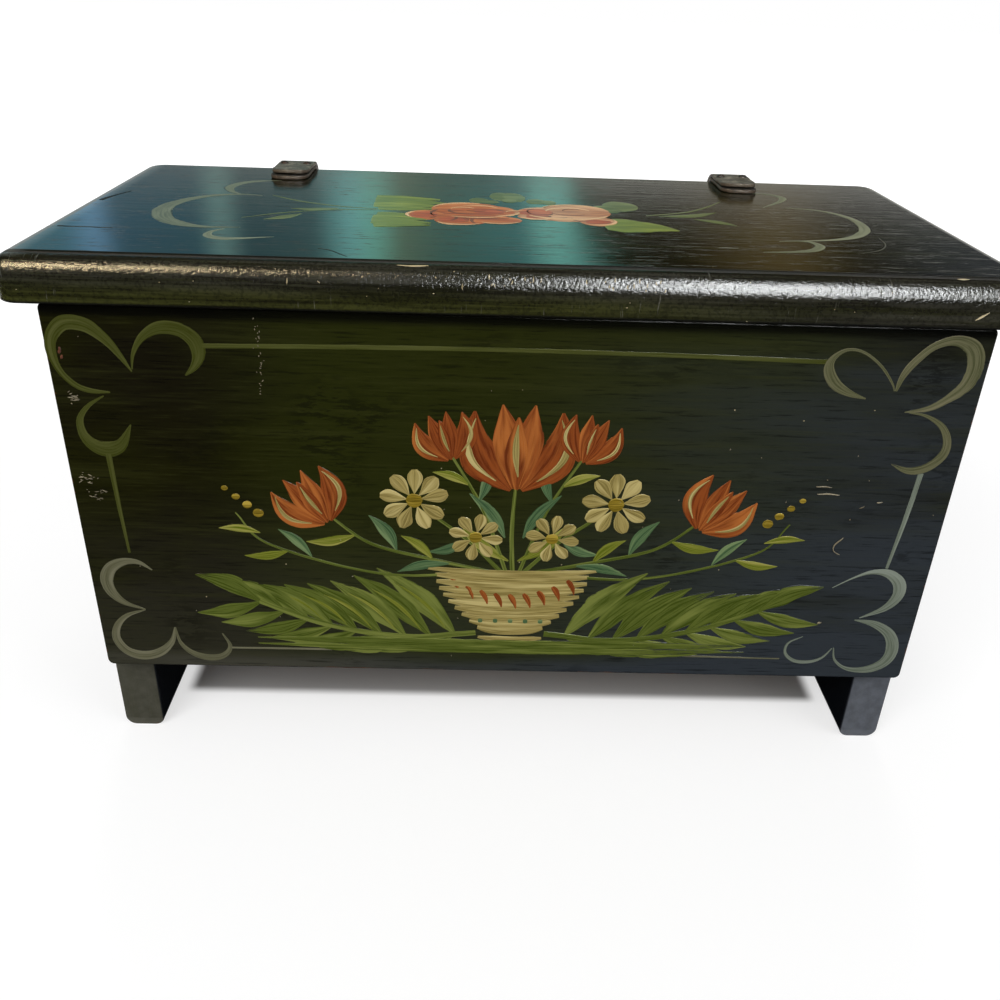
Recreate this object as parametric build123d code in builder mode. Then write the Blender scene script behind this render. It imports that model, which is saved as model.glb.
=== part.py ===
from build123d import *
from math import asin, degrees
import os

os.makedirs("parts", exist_ok=True)

# A miniature six-board blanket chest: two end boards that run down to the floor as feet,
# front and back boards nailed over their edges, a bottom board housed in grooves,
# and a moulded lid board hung on two leather straps. Millimetres, +Z up, the front
# faces -Y, and the origin is the bottom centre of the whole chest.

# Case
case_width = 381.0
case_depth = 198.0
panel_height = 177.0
foot_drop = 43.5
end_thickness = 19.0
face_thickness = 8.0
bottom_thickness = 8.0
groove_depth = 5.0
groove_clearance = 0.1
panel_corner = 3.0
panel_arris = 1.5
foot_arris = 5.0
arch_radius = 35.0

# Lid
lid_thickness = 19.0
lid_front_overhang = 5.0
lid_side_overhang = 14.5
lid_rest_gap = 0.5
lid_nose = 8.5
lid_front_corner = 9.0
lid_back_corner = 13.0
lid_arris = 2.0
shoulder_drop = 0.7
shoulder_ledge = 1.0

# Leather straps, each of two plies, split where they bend at the lid joint
strap_width = 20.0
strap_inset = 71.0
strap_on_lid = 41.0
strap_on_case = 42.0
ply_thickness = 2.0
ply_setback = 2.5
seat_clearance = 0.1
strap_end_radius = 7.0
strap_joint_gap = 0.5

# Domed tacks that hold the straps
tack_head_radius = 2.3
tack_head_height = 1.2
tack_shank_radius = 0.7
tack_length = 10.0
tack_point = 2.0
tack_spread = 6.0
tack_from_edge = 15.0
tack_from_end = 9.0

# Nails, their heads set below the face and covered by filler
nail_shank_radius = 0.9
nail_head_radius = 1.6
nail_head_height = 0.8
nail_point = 2.5
nail_set = 1.2
nail_length = 28.0
nail_margin = 16.0
nail_spacing = 70.0
drill_clearance = 0.1

# Places worked out from the sizes above
strap_stack = 2 * (seat_clearance + ply_thickness)
total_depth = lid_front_overhang + case_depth + strap_stack + tack_head_height
case_front = lid_front_overhang - total_depth / 2
case_back = case_front + case_depth
case_middle = (case_front + case_back) / 2
case_top = foot_drop + panel_height
end_front = case_front + face_thickness
end_back = case_back - face_thickness
end_depth = end_back - end_front
inner_width = case_width - 2 * end_thickness
bottom_middle = foot_drop + bottom_thickness / 2
lid_front = case_front - lid_front_overhang
lid_under = case_top + lid_rest_gap
lid_top = lid_under + lid_thickness
lid_width = case_width + 2 * lid_side_overhang
lid_depth = case_back - lid_front
hinge_y = case_back + strap_stack
hinge_z = case_top + lid_rest_gap / 2
strap_x = case_width / 2 - strap_inset
strap_front = case_back - strap_on_lid
strap_foot = case_top - strap_on_case

# Outer faces that nails and tacks are driven through, seen from outside
front_face = Plane(origin=(0, case_front, 0), x_dir=(1, 0, 0), z_dir=(0, -1, 0))
back_face = Plane(origin=(0, case_back, 0), x_dir=(-1, 0, 0), z_dir=(0, 1, 0))
left_face = Plane(origin=(-case_width / 2, 0, 0), x_dir=(0, -1, 0), z_dir=(-1, 0, 0))
right_face = Plane(origin=(case_width / 2, 0, 0), x_dir=(0, 1, 0), z_dir=(1, 0, 0))
strap_top_face = Plane.XY.offset(lid_top + strap_stack)
strap_back_face = back_face.offset(strap_stack)


def spread(first, last):
    """Even places from first to last, about one nail spacing apart."""
    gaps = max(1, round((last - first) / nail_spacing))
    return [first + (last - first) * i / gaps for i in range(gaps + 1)]


# Nail places on those faces
edge_x = (case_width - end_thickness) / 2
edge_rows = spread(foot_drop + bottom_thickness + nail_margin / 2, case_top - nail_margin)
bottom_reach = inner_width / 2 - 2 * nail_margin
bottom_columns = spread(-bottom_reach, bottom_reach)
bottom_rows = spread(end_front + nail_margin, end_back - nail_margin)
minus_edge = [(-edge_x, z) for z in edge_rows]
plus_edge = [(edge_x, z) for z in edge_rows]
along_bottom = [(x, bottom_middle) for x in bottom_columns]
across_left = [(-y, bottom_middle) for y in bottom_rows]
across_right = [(y, bottom_middle) for y in bottom_rows]


def lid_tack_places(side):
    """Two tacks side by side near the lid's back edge."""
    y = case_back - tack_from_edge
    return [(side * strap_x - tack_spread, y), (side * strap_x + tack_spread, y)]


def case_tack_places(side):
    """Two tacks under the lid joint and one near the strap's lower end."""
    u = -side * strap_x
    upper = case_top - tack_from_edge
    return [(u - tack_spread, upper), (u + tack_spread, upper), (u, strap_foot + tack_from_end)]


def drilled(face, places, radius, top, bottom):
    """Cut round holes in the part being built, from depth top to depth bottom under a face."""
    with BuildSketch(face.offset(-top)) as mouths:
        with Locations(*places):
            Circle(radius + drill_clearance)
    extrude(mouths.sketch, amount=top - bottom, mode=Mode.SUBTRACT)


def nail_holes(face, places):
    """Stopped holes for a group of nails."""
    head_end = nail_set + nail_head_height
    drilled(face, places, nail_head_radius, nail_set - drill_clearance, head_end + drill_clearance)
    drilled(face, places, nail_shank_radius, nail_set, nail_set + nail_length + drill_clearance)


def tack_holes(face, places):
    """Holes for a group of tacks, through the leather and into the wood."""
    drilled(face, places, tack_shank_radius, 0, tack_length + drill_clearance)


def pin(radius, length, point):
    """A shank with a tapered point, hanging down from the current places."""
    downwards = (Align.CENTER, Align.CENTER, Align.MAX)
    Cylinder(radius, length - point, align=downwards)
    with Locations((0, 0, point - length)):
        Cone(radius / 5, radius, point, align=downwards)


def nail_group(face, places):
    """Finishing nails with small flat heads, set below a face."""
    with BuildPart(face.offset(-nail_set)) as group:
        with Locations(*places):
            Cylinder(nail_head_radius, nail_head_height, align=(Align.CENTER, Align.CENTER, Align.MAX))
            pin(nail_shank_radius, nail_length, nail_point)
    return group.part


def tack_group(face, places):
    """Tacks with domed heads that bear on a face of the leather."""
    dome = (tack_head_radius**2 + tack_head_height**2) / (2 * tack_head_height)
    rim_angle = degrees(asin((dome - tack_head_height) / dome))
    with BuildPart(face) as group:
        with Locations(*places):
            Sphere(dome, arc_size1=rim_angle, align=(Align.CENTER, Align.CENTER, Align.MIN))
            pin(tack_shank_radius, tack_length, tack_point)
    return group.part


def face_board(face, outermost):
    """Front or back board, with the arrises of its outer face eased."""
    with BuildPart() as board:
        with BuildSketch(face):
            with Locations((0, foot_drop + panel_height / 2)):
                Rectangle(case_width, panel_height)
        extrude(amount=-face_thickness)
        fillet(board.edges().filter_by(Axis.Y), panel_corner)
        fillet(board.faces().sort_by(Axis.Y)[outermost].edges(), panel_arris)
        nail_holes(face, minus_edge + plus_edge + along_bottom)
    return board.part


def end_board(side, outer_face, bottom_nails):
    """End board with two feet under an arch, grooved inside for the bottom board."""
    inner_face = Plane.YZ.offset(side * inner_width / 2)
    with BuildPart() as board:
        with BuildSketch(inner_face):
            with Locations((case_middle, case_top / 2)):
                Rectangle(end_depth, case_top)
            with Locations((case_middle, 0)):
                Circle(arch_radius, mode=Mode.SUBTRACT)
        extrude(amount=side * end_thickness)
        soles = board.faces().filter_by(Axis.Z).group_by(Axis.Z)[0]
        fillet(soles.edges().filter_by(Axis.Y), foot_arris)
        with BuildSketch(inner_face):
            with Locations((case_middle, bottom_middle)):
                Rectangle(end_depth, bottom_thickness + 2 * groove_clearance)
        extrude(amount=side * (groove_depth + groove_clearance), mode=Mode.SUBTRACT)
        nail_holes(front_face, plus_edge if side > 0 else minus_edge)
        nail_holes(back_face, minus_edge if side > 0 else plus_edge)
        nail_holes(outer_face, bottom_nails)
    return board.part


def lid_ply(side, layer):
    """One ply of a strap on the lid: along the top, round the nose and down the back edge."""
    inner = seat_clearance + layer * (ply_thickness + seat_clearance)
    outer = inner + ply_thickness
    front = strap_front + layer * ply_setback
    end = hinge_z + strap_joint_gap
    nose_y = case_back - lid_nose
    nose_z = lid_top - lid_nose
    with BuildPart() as ply:
        with BuildSketch(Plane.YZ.offset(side * strap_x)):
            with BuildLine():
                Line((front, lid_top + inner), (front, lid_top + outer))
                Line((case_back + inner, end), (case_back + outer, end))
                for offset in (inner, outer):
                    Line((front, lid_top + offset), (nose_y, lid_top + offset))
                    CenterArc((nose_y, nose_z), lid_nose + offset, 0, 90)
                    Line((case_back + offset, nose_z), (case_back + offset, end))
            make_face()
        extrude(amount=strap_width / 2, both=True)
        fillet(ply.edges().filter_by(Axis.Z).group_by(Axis.Y)[0], strap_end_radius)
        tack_holes(strap_top_face, lid_tack_places(side))
    return ply.part


def case_ply(side, layer):
    """One ply of a strap on the case: flat against the back board."""
    inner = seat_clearance + layer * (ply_thickness + seat_clearance)
    top = hinge_z - strap_joint_gap
    foot = strap_foot + layer * ply_setback
    with BuildPart() as ply:
        with BuildSketch(back_face.offset(inner)):
            with Locations((-side * strap_x, (top + foot) / 2)):
                Rectangle(strap_width, top - foot)
        extrude(amount=ply_thickness)
        fillet(ply.edges().filter_by(Axis.Y).group_by(Axis.Z)[0], strap_end_radius)
        tack_holes(strap_back_face, case_tack_places(side))
    return ply.part


# Bottom board, its ends housed in the end boards' grooves
with BuildPart() as bottom_board:
    with BuildSketch(Plane.XY.offset(foot_drop)):
        with Locations((0, case_middle)):
            Rectangle(inner_width + 2 * groove_depth, end_depth)
    extrude(amount=bottom_thickness)
    nail_holes(front_face, along_bottom)
    nail_holes(back_face, along_bottom)
    nail_holes(left_face, across_left)
    nail_holes(right_face, across_right)

# Lid board: rounded nose on all four edges, and a small shoulder behind the front nose
with BuildPart() as lid_board:
    with BuildSketch(Plane.XY.offset(lid_under)) as outline:
        with Locations((0, (lid_front + case_back) / 2)):
            Rectangle(lid_width, lid_depth)
        fillet(outline.vertices().group_by(Axis.Y)[0], lid_front_corner)
        fillet(outline.vertices().group_by(Axis.Y)[-1], lid_back_corner)
    extrude(amount=lid_thickness)
    fillet(lid_board.faces().sort_by(Axis.Z)[-1].edges(), lid_nose)
    fillet(lid_board.faces().sort_by(Axis.Z)[0].edges(), lid_arris)
    with BuildSketch(Plane.YZ):
        nose_top = lid_top - shoulder_drop
        shoulder = lid_front + lid_nose + shoulder_ledge
        with BuildLine():
            Polyline(
                (lid_front + lid_nose, nose_top),
                (shoulder, nose_top),
                (shoulder, lid_top + shoulder_drop),
                (lid_front, lid_top + shoulder_drop),
                (lid_front, nose_top - lid_nose),
            )
            CenterArc((lid_front + lid_nose, nose_top - lid_nose), lid_nose, 90, 90)
        make_face()
    extrude(amount=lid_width, both=True, mode=Mode.SUBTRACT)
    for end in (-1, 1):
        tack_holes(strap_top_face, lid_tack_places(end))

# Back board, also bored for the strap tacks
with BuildPart() as back_board:
    add(face_board(back_face, -1))
    for end in (-1, 1):
        tack_holes(strap_back_face, case_tack_places(end))

pieces = {
    "front_board": face_board(front_face, 0),
    "back_board": back_board.part,
    "left_end_board": end_board(-1, left_face, across_left),
    "right_end_board": end_board(1, right_face, across_right),
    "bottom_board": bottom_board.part,
    "lid_board": lid_board.part,
    "front_left_nails": nail_group(front_face, minus_edge),
    "front_right_nails": nail_group(front_face, plus_edge),
    "back_left_nails": nail_group(back_face, plus_edge),
    "back_right_nails": nail_group(back_face, minus_edge),
    "bottom_front_nails": nail_group(front_face, along_bottom),
    "bottom_back_nails": nail_group(back_face, along_bottom),
    "bottom_left_nails": nail_group(left_face, across_left),
    "bottom_right_nails": nail_group(right_face, across_right),
}
for name, end in (("left", -1), ("right", 1)):
    pieces[f"{name}_strap_lid_inner_ply"] = lid_ply(end, 0)
    pieces[f"{name}_strap_lid_outer_ply"] = lid_ply(end, 1)
    pieces[f"{name}_strap_case_inner_ply"] = case_ply(end, 0)
    pieces[f"{name}_strap_case_outer_ply"] = case_ply(end, 1)
    pieces[f"{name}_lid_tacks"] = tack_group(strap_top_face, lid_tack_places(end))
    pieces[f"{name}_case_tacks"] = tack_group(strap_back_face, case_tack_places(end))

for name, piece in pieces.items():
    piece.label = name
    export_step(piece, f"parts/{name}.step")

print("lid", lid_width, "x", lid_depth, "height", lid_top, "hinge y z", hinge_y, hinge_z)
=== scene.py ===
import math
import bpy
import numpy as np
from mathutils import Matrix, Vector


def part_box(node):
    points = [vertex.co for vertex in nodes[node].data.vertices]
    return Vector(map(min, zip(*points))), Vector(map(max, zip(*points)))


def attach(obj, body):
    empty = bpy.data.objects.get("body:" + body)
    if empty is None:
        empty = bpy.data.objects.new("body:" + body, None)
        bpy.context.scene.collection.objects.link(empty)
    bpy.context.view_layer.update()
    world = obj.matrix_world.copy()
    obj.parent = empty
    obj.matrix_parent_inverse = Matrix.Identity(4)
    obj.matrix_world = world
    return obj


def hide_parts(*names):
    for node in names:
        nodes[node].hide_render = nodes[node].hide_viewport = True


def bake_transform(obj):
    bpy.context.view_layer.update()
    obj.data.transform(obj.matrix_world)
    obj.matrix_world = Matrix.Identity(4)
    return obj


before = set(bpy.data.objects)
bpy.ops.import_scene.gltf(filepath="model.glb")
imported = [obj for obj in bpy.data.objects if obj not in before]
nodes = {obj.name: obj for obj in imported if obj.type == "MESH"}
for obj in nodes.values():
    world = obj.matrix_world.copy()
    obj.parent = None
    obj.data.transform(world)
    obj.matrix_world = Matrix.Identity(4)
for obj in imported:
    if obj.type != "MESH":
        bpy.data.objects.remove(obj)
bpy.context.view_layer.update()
rng = np.random.default_rng(1907)
MM = 0.001
METRE = 1.0


def corners_of(name):
    """The lowest and highest corners of a CAD node in millimetres."""
    return [[v / MM for v in corner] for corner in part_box(name)]


# Places on the chest in millimetres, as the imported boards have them
CASE_LOW = corners_of("front_board")[0]
CASE_HIGH = corners_of("back_board")[1]
LID_LOW, LID_HIGH = corners_of("lid_board")
FACE_Y, PANEL_Z = CASE_LOW[1:]
CASE_TOP = CASE_HIGH[2]
LID_TOP = LID_HIGH[2]
INNER_X = 171.5
INNER_Y = 91.0
MIDDLE_Y = -0.2
PAINT_RISE = 1.0
NOSE = 8.5
SHOULDER_Y = LID_LOW[1] + NOSE
SHOULDER_DROP = 0.7


def tint(red, green, blue):
    """A colour given in the 0-255 steps of a paint chart, as a linear colour."""
    steps = np.array([red, green, blue]) / 255
    linear = np.where(steps < 0.04045, steps / 12.92, ((steps + 0.055) / 1.055) ** 2.4)
    return (*[float(v) for v in linear], 1.0)


# Shader nodes

class Value:
    """What a node gives, so that sums of such values read as plain arithmetic."""

    def __init__(self, graph, socket):
        self.graph = graph
        self.socket = socket

    def __add__(self, other):
        return self.graph.math("ADD", self, other)

    def __sub__(self, other):
        return self.graph.math("SUBTRACT", self, other)

    def __rsub__(self, other):
        return self.graph.math("SUBTRACT", other, self)

    def __mul__(self, other):
        return self.graph.math("MULTIPLY", self, other)

    def __abs__(self):
        return self.graph.math("ABSOLUTE", self)


class Nodes:
    """Short calls that add nodes to one tree."""

    def __init__(self, tree):
        self.tree = tree

    def put(self, kind, values, output=0, **settings):
        """Adds a node, links or sets its inputs, and gives one of its outputs."""
        made = self.tree.nodes.new("ShaderNode" + kind)
        for name, value in settings.items():
            setattr(made, name, value)
        for key, value in values.items():
            if isinstance(value, Value):
                self.link(value, made.inputs[key])
            else:
                made.inputs[key].default_value = value
        return Value(self, made.outputs[output])

    def link(self, value, socket):
        self.tree.links.new(value.socket, socket)

    def split(self, vector):
        parts = self.put("SeparateXYZ", {0: vector}).socket.node
        return [Value(self, socket) for socket in parts.outputs]

    def join(self, x, y, z):
        return self.put("CombineXYZ", {0: x, 1: y, 2: z})

    def times(self, vector, factors):
        return self.put("VectorMath", {0: vector, 1: factors}, operation="MULTIPLY")

    def math(self, operation, a, b=0.0):
        return self.put("Math", {0: a, 1: b}, operation=operation)

    def least(self, a, b):
        return self.math("MINIMUM", a, b)

    def most(self, a, b):
        return self.math("MAXIMUM", a, b)

    def ramp(self, value, low, high, **settings):
        return self.put("MapRange", {0: value, 1: low, 2: high}, **settings)

    def step(self, value, low, high):
        """0 at low, 1 at high and a smooth bend between."""
        return self.ramp(value, low, high, interpolation_type="SMOOTHSTEP")

    def mix(self, share, a, b):
        return self.put("Mix", {0: share, 6: a, 7: b}, 2, data_type="RGBA")

    def attribute(self, name):
        return self.put("Attribute", {}, "Vector", attribute_name=name)

    def seen_directly(self):
        """1 for camera, glossy and transmission rays."""
        rays = ("Camera", "Glossy", "Transmission")
        camera, gloss, through = [self.put("LightPath", {}, f"Is {ray} Ray") for ray in rays]
        return self.most(self.most(camera, gloss), through)


class Graph(Nodes):
    """The nodes of one material, with its object coordinates in millimetres or metres."""

    def __init__(self, name, unit=MM):
        self.material = bpy.data.materials.new(name)
        self.material.use_nodes = True
        super().__init__(self.material.node_tree)
        self.shader = self.tree.nodes["Principled BSDF"]
        self.place = self.times(self.put("TexCoord", {}, "Object"), (1 / unit,) * 3)
        self.x, self.y, self.z = self.split(self.place)

    def scaled(self, factors, vector):
        if isinstance(factors, float):
            factors = (factors,) * 3
        return self.times(vector or self.place, factors)

    def noise(self, factors, detail=3.0, roughness=0.55, vector=None):
        """Noise as fine as the factors make it, over the place unless a vector is given."""
        held = {"Vector": self.scaled(factors, vector), "Scale": 1.0}
        return self.put("TexNoise", held | {"Detail": detail, "Roughness": roughness})

    def cells(self, factors, feature="F1", vector=None):
        held = {"Vector": self.scaled(factors, vector), "Scale": 1.0}
        return self.put("TexVoronoi", held, "Distance", feature=feature)

    def finish(self, colour, roughness, height, depth, gloss=0.5):
        """Links the finished colour, roughness and relief, depth in millimetres."""
        bump = self.put("Bump", {"Height": height, "Distance": depth * MM, "Strength": 1.0})
        for value, name in ((colour, "Base Color"), (roughness, "Roughness"), (bump, "Normal")):
            self.link(value, self.shader.inputs[name])
        self.shader.inputs["Specular IOR Level"].default_value = gloss
        return self.material

    def emit(self, colour, strength=1.0):
        """Makes the material one that only shines."""
        self.tree.nodes.remove(self.shader)
        shine = self.put("Emission", {"Color": colour, "Strength": strength})
        self.link(shine, self.tree.nodes["Material Output"].inputs[0])
        return self.material


def near_edge(g, low, high):
    """How far a surface point is from the nearest edge of a box, in millimetres."""
    a, b, c = [g.least(v - start, end - v) for v, start, end in zip((g.x, g.y, g.z), low, high)]
    return g.most(g.least(a, b), g.least(g.most(a, b), c))


def drawn(axis, along, across):
    """Noise factors that stretch a pattern along one axis of a board."""
    factors = [across] * 3
    factors["xyz".index(axis)] = along
    return tuple(factors)


# How the lid's varnish shines: relief weights in quarter millimetres
LID_GLOSS = 0.4
LID_ROUGHNESS = 0.07
LID_GRAIN = 0.25
NOSE_PEEL = 1.05
CASE_GLOSS = 0.15
FRONT_POLISH = 0.15
SIDE_POLISH = 0.36

# Colours of the old paint, the bare wood and the dust, and of the painted reflection, highlight and
# shade
OLIVE_BLACK = tint(26, 26, 6)
MIDDLE_OLIVE = tint(38, 42, 11)
NOSE_OLIVE = tint(70, 72, 34)
NOSE_GREY = tint(62, 61, 53)
NOSE_CUT = tint(150, 148, 135)
END_HIGHLIGHT = tint(122, 128, 124)
BROWN_BLACK = tint(21, 19, 9)
DEEP_BLACK = tint(8, 8, 6)
WORN_OLIVE = tint(54, 56, 24)
SHEEN_GREY = tint(47, 52, 57)
SHEEN_BROWN = tint(64, 63, 54)
DUST = tint(80, 79, 69)
COOL_DUST = tint(100, 104, 112)
FOOT_SHADE = tint(12, 15, 20)
BARE_WOOD = tint(112, 68, 38)
BARE_GRAIN = tint(70, 38, 20)
CREAM_CHIP = tint(205, 190, 150)
PINE = tint(176, 140, 94)
PINE_RING = tint(142, 98, 56)
PINE_FIBRE = tint(120, 84, 50)
PINE_STAIN = tint(92, 66, 42)


def old_paint(g, axis, sheen=None):
    """Near-black paint brushed along one axis: its colour and its relief, with a painted reflection
    mixed in where a sheen share is given.
    """
    bristle = g.noise(drawn(axis, 0.05, 0.95), 5.0, 0.65)
    streak = g.noise(drawn(axis, 0.007, 0.17), 3.0, 0.5)
    cloud = g.noise(0.013)
    colour = g.mix(g.step(cloud, 0.4, 0.62), OLIVE_BLACK, BROWN_BLACK)
    rubbed = 0.45
    if sheen is not None:
        # Front only: a lighter olive middle, then a painted reflection in grey and brown tones
        middle = g.step(g.x, -150.0, -70.0) * g.step(g.x, 190.0, 90.0)
        colour = g.mix(middle * 0.8, colour, MIDDLE_OLIVE)
        sheen_tone = g.mix(g.step(g.x, -140.0, 60.0), SHEEN_BROWN, SHEEN_GREY)
        colour = g.mix(sheen, colour, sheen_tone)
        rubbed = sheen * -0.2 + 0.27
    colour = g.mix(g.step(streak, 0.5, 0.75) * rubbed, colour, WORN_OLIVE)
    colour = g.mix(g.step(bristle, 0.5, 0.72) * rubbed, colour, WORN_OLIVE)
    region = g.step(g.noise(0.021, 1.0, 0.5), 0.57, 0.7)
    scuffed = g.step(g.noise(drawn(axis, 0.1, 0.42), 4.0, 0.7), 0.47, 0.56)
    dark = g.most(scuffed * region, g.step(bristle, 0.46, 0.34))
    colour = g.mix(dark * 0.5, colour, DEEP_BLACK)
    speck = g.step(g.cells(0.07), 0.026, 0.014)
    colour = g.mix(speck * 0.6, colour, CREAM_CHIP)
    return colour, bristle * 0.7 + streak * 0.5


def front_painted_sheen(g):
    """A painted reflection on the front, stronger to the right and towards the foot, held back by
    painted shade under the lid.
    """
    right = g.step(g.x, -20.0, 175.0)
    low = g.step(g.z, 150.0, 44.0) * 0.5 + g.step(g.z, 55.0, 46.0)
    # Painted shade under the lid's overhang: the painted reflection fades out towards the top of
    # the front
    clear_of_lid_shade = g.step(g.z, CASE_TOP - 3.0, CASE_TOP - 26.0) * 0.75 + 0.25
    cloud = g.step(g.noise((0.006, 0.006, 0.05), 3.0, 0.5), 0.1, 0.6)
    return (right * 0.85 + low * 0.7) * clear_of_lid_shade * cloud


def dusty_shaded_foot(g, colour):
    """Pale dust and scuffs on the feet, thickest at the ground, with painted shade on their inner
    faces.
    """
    low = g.step(g.z, PANEL_Z + 4.0, PANEL_Z - 2.0)
    front = g.step(g.y, FACE_Y + 13.0, FACE_Y + 9.5)
    spread = g.step(g.z, PANEL_Z, 2.0) * 0.5
    rub = g.step(g.noise(0.2, 4.0, 0.6), 0.25, 0.75) * 0.3 + 0.62
    dust = g.mix(g.step(g.x, -100.0, 100.0), DUST, COOL_DUST)
    dusty = g.mix(g.most(low * front, spread) * rub, colour, dust)
    # Painted shade: the inner faces of the feet turn dark
    shaded_inner_faces = low * g.step(abs(g.x), INNER_X + 1.4, INNER_X + 0.3)
    return g.mix(shaded_inner_faces, dusty, FOOT_SHADE)


def worn(g, colour, near, width, axis):
    """Shows bare wood where the paint has rubbed off near an edge."""
    reach = g.step(g.noise(drawn(axis, 0.05, 0.35), 4.0, 0.65), 0.42, 0.75) * width
    rubbed = g.step(reach - near, -0.15, 0.35)
    grain = g.noise(drawn(axis, 0.03, 1.4), 3.0, 0.6)
    return g.mix(rubbed, colour, g.mix(grain, BARE_GRAIN, BARE_WOOD)), rubbed


def pine(g, axis):
    """Bare old pine with its rings drawn out along one axis."""
    bend = g.noise(drawn(axis, 0.0016, 0.018), 1.0, 0.35)
    ragged = g.noise(drawn(axis, 0.01, 0.3), 2.0, 0.5)
    ring = g.math("FRACT", bend * 34.0 + ragged * 0.35)
    late = g.step(ring, 0.3, 0.86) * g.step(ring, 1.0, 0.9)
    fibre = g.noise(drawn(axis, 0.02, 2.2), 4.0, 0.7)
    stain = g.step(g.noise(0.02, 3.0, 0.5), 0.45, 0.8)
    colour = g.mix(late * 0.7, PINE, PINE_RING)
    colour = g.mix(fibre * 0.45, colour, PINE_FIBRE)
    return g.mix(stain * 0.55, colour, PINE_STAIN), fibre


def case_board(name, axis, low, high, front_face=False):
    """Dark paint outside and bare pine inside the case, worn along the edges."""
    g = Graph(name)
    outside, relief = old_paint(g, axis, front_painted_sheen(g) if front_face else None)
    outside, rubbed = worn(g, outside, near_edge(g, low, high), 1.3, axis)
    if front_face:
        # Painted shade: the top few millimetres of the front turn near-black under the lid
        painted_shade_under_lid = g.step(g.z, CASE_TOP - 7.0, CASE_TOP - 3.0)
        outside = g.mix(painted_shade_under_lid * 0.85, outside, DEEP_BLACK)
    if low[2] < 1.0:
        outside = dusty_shaded_foot(g, outside)
    inside, fibre = pine(g, axis)
    across = g.step(abs(g.x), INNER_X + 0.3, INNER_X + 0.1)
    deep = g.step(abs(g.y - MIDDLE_Y), INNER_Y + 0.3, INNER_Y + 0.1)
    above = g.step(g.z, PANEL_Z + 0.1, PANEL_Z + 0.4)
    below = g.step(g.z, CASE_TOP - 0.2, CASE_TOP - 2.5)
    inner = across * deep * (above * below)
    rim = g.step(g.z, CASE_TOP - 0.5, CASE_TOP - 0.1) * 2.2
    dull = g.most(g.most(inner, rubbed), rim)
    roughness = relief * 0.06 + (dull * 0.3 + (FRONT_POLISH if front_face else SIDE_POLISH))
    height = g.put("Mix", {0: inner, 2: relief, 3: fibre})
    return g.finish(g.mix(inner, outside, inside), roughness, height, 0.2, CASE_GLOSS)


def lid_paint(g):
    """The lid's colour and relief, shared by the board and the ornament on it."""
    colour, relief = old_paint(g, "x")
    grain = g.noise((0.011, 0.3, 0.3), 4.0, 0.62)
    pore = g.step(g.noise((0.05, 0.5, 0.5), 3.0, 0.7), 0.4, 0.3)
    colour = g.mix(0.35, colour, DEEP_BLACK)
    colour = g.mix(pore * 0.7, colour, DEEP_BLACK)
    return colour, grain * LID_GRAIN + relief * 0.15 - pore * 0.25, pore


def lid_board_material(name):
    """Varnished dark paint with paler streaks along the nose, partly rubbed paint and partly
    painted sheen, scratched across it, with a painted highlight at the left end and painted shade
    at the shoulder's step and under the nose.
    """
    g = Graph(name)
    colour, relief, pore = lid_paint(g)
    colour, rubbed = worn(g, colour, near_edge(g, LID_LOW, LID_HIGH), 1.0, "x")
    nose = g.step(g.y, SHOULDER_Y + 1.0, SHOULDER_Y - 1.0)
    streak = g.noise((0.012, 0.5, 0.45), 4.0, 0.65)
    # Paler grey streaks along the nose, olive on its lower left: partly rubbed paint, partly
    # painted sheen
    olive = g.step(g.z, LID_TOP - 7.0, LID_TOP - 15.0) * g.step(g.x, 130.0, 10.0)
    share = nose * (g.step(streak, 0.36, 0.66) * 0.52 + 0.1)
    colour = g.mix(share, colour, g.mix(olive, NOSE_GREY, NOSE_OLIVE))
    # Painted highlight on the lid's top along its left end
    end = g.step(g.x, LID_LOW[0] + 15.0, LID_LOW[0] + 6.0) * (streak * 0.7 + 0.25)
    colour = g.mix(end * g.step(g.z, LID_TOP - 2.0, LID_TOP - 0.2), colour, END_HIGHLIGHT)
    lines = g.step(g.noise((0.7, 0.06, 3.0), 3.0, 0.7, g.join(g.x, g.z, 1.0)), 0.62, 0.7)
    patch = g.step(g.noise((0.018, 0.018, 0.05), 2.0, 0.5), 0.5, 0.6)
    cut = lines * patch * nose
    colour = g.mix(cut * 0.3, colour, NOSE_CUT)
    peel = g.noise((0.75, 0.8, 0.8))
    # Darker in the hollows of the nose's peel relief
    peel_hollows = g.step(peel, 0.5, 0.42) * nose
    colour = g.mix(peel_hollows * 0.35, colour, DEEP_BLACK)
    # Painted shade: near-black and rough in the step at the shoulder and along the nose's lower
    # edge
    quirk_shade = g.step(abs(g.y - SHOULDER_Y), 1.3, 0.5)
    sill_shade = nose * g.step(g.z, LID_LOW[2] + 1.8, LID_LOW[2] + 0.5)
    colour = g.mix(g.most(quirk_shade, sill_shade) * 0.85, colour, DEEP_BLACK)
    smear = g.noise((0.01, 0.05, 0.05), 3.0, 0.6)
    roughness = smear * 0.09 + LID_ROUGHNESS + pore * 0.08 + rubbed * 0.25 + nose * 0.05
    roughness = roughness + quirk_shade * 0.85 + sill_shade * 0.4
    rounded = g.step(g.y, SHOULDER_Y - 0.4, SHOULDER_Y - 1.4)
    height = g.put("Mix", {0: rounded, 2: relief, 3: peel * NOSE_PEEL - cut * 0.8})
    return g.finish(colour, roughness, height, 0.26, LID_GLOSS)


# New pieces

def add(name, data):
    """Puts a new object into the scene."""
    made = bpy.data.objects.new(name, data)
    bpy.context.scene.collection.objects.link(made)
    return made


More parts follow.
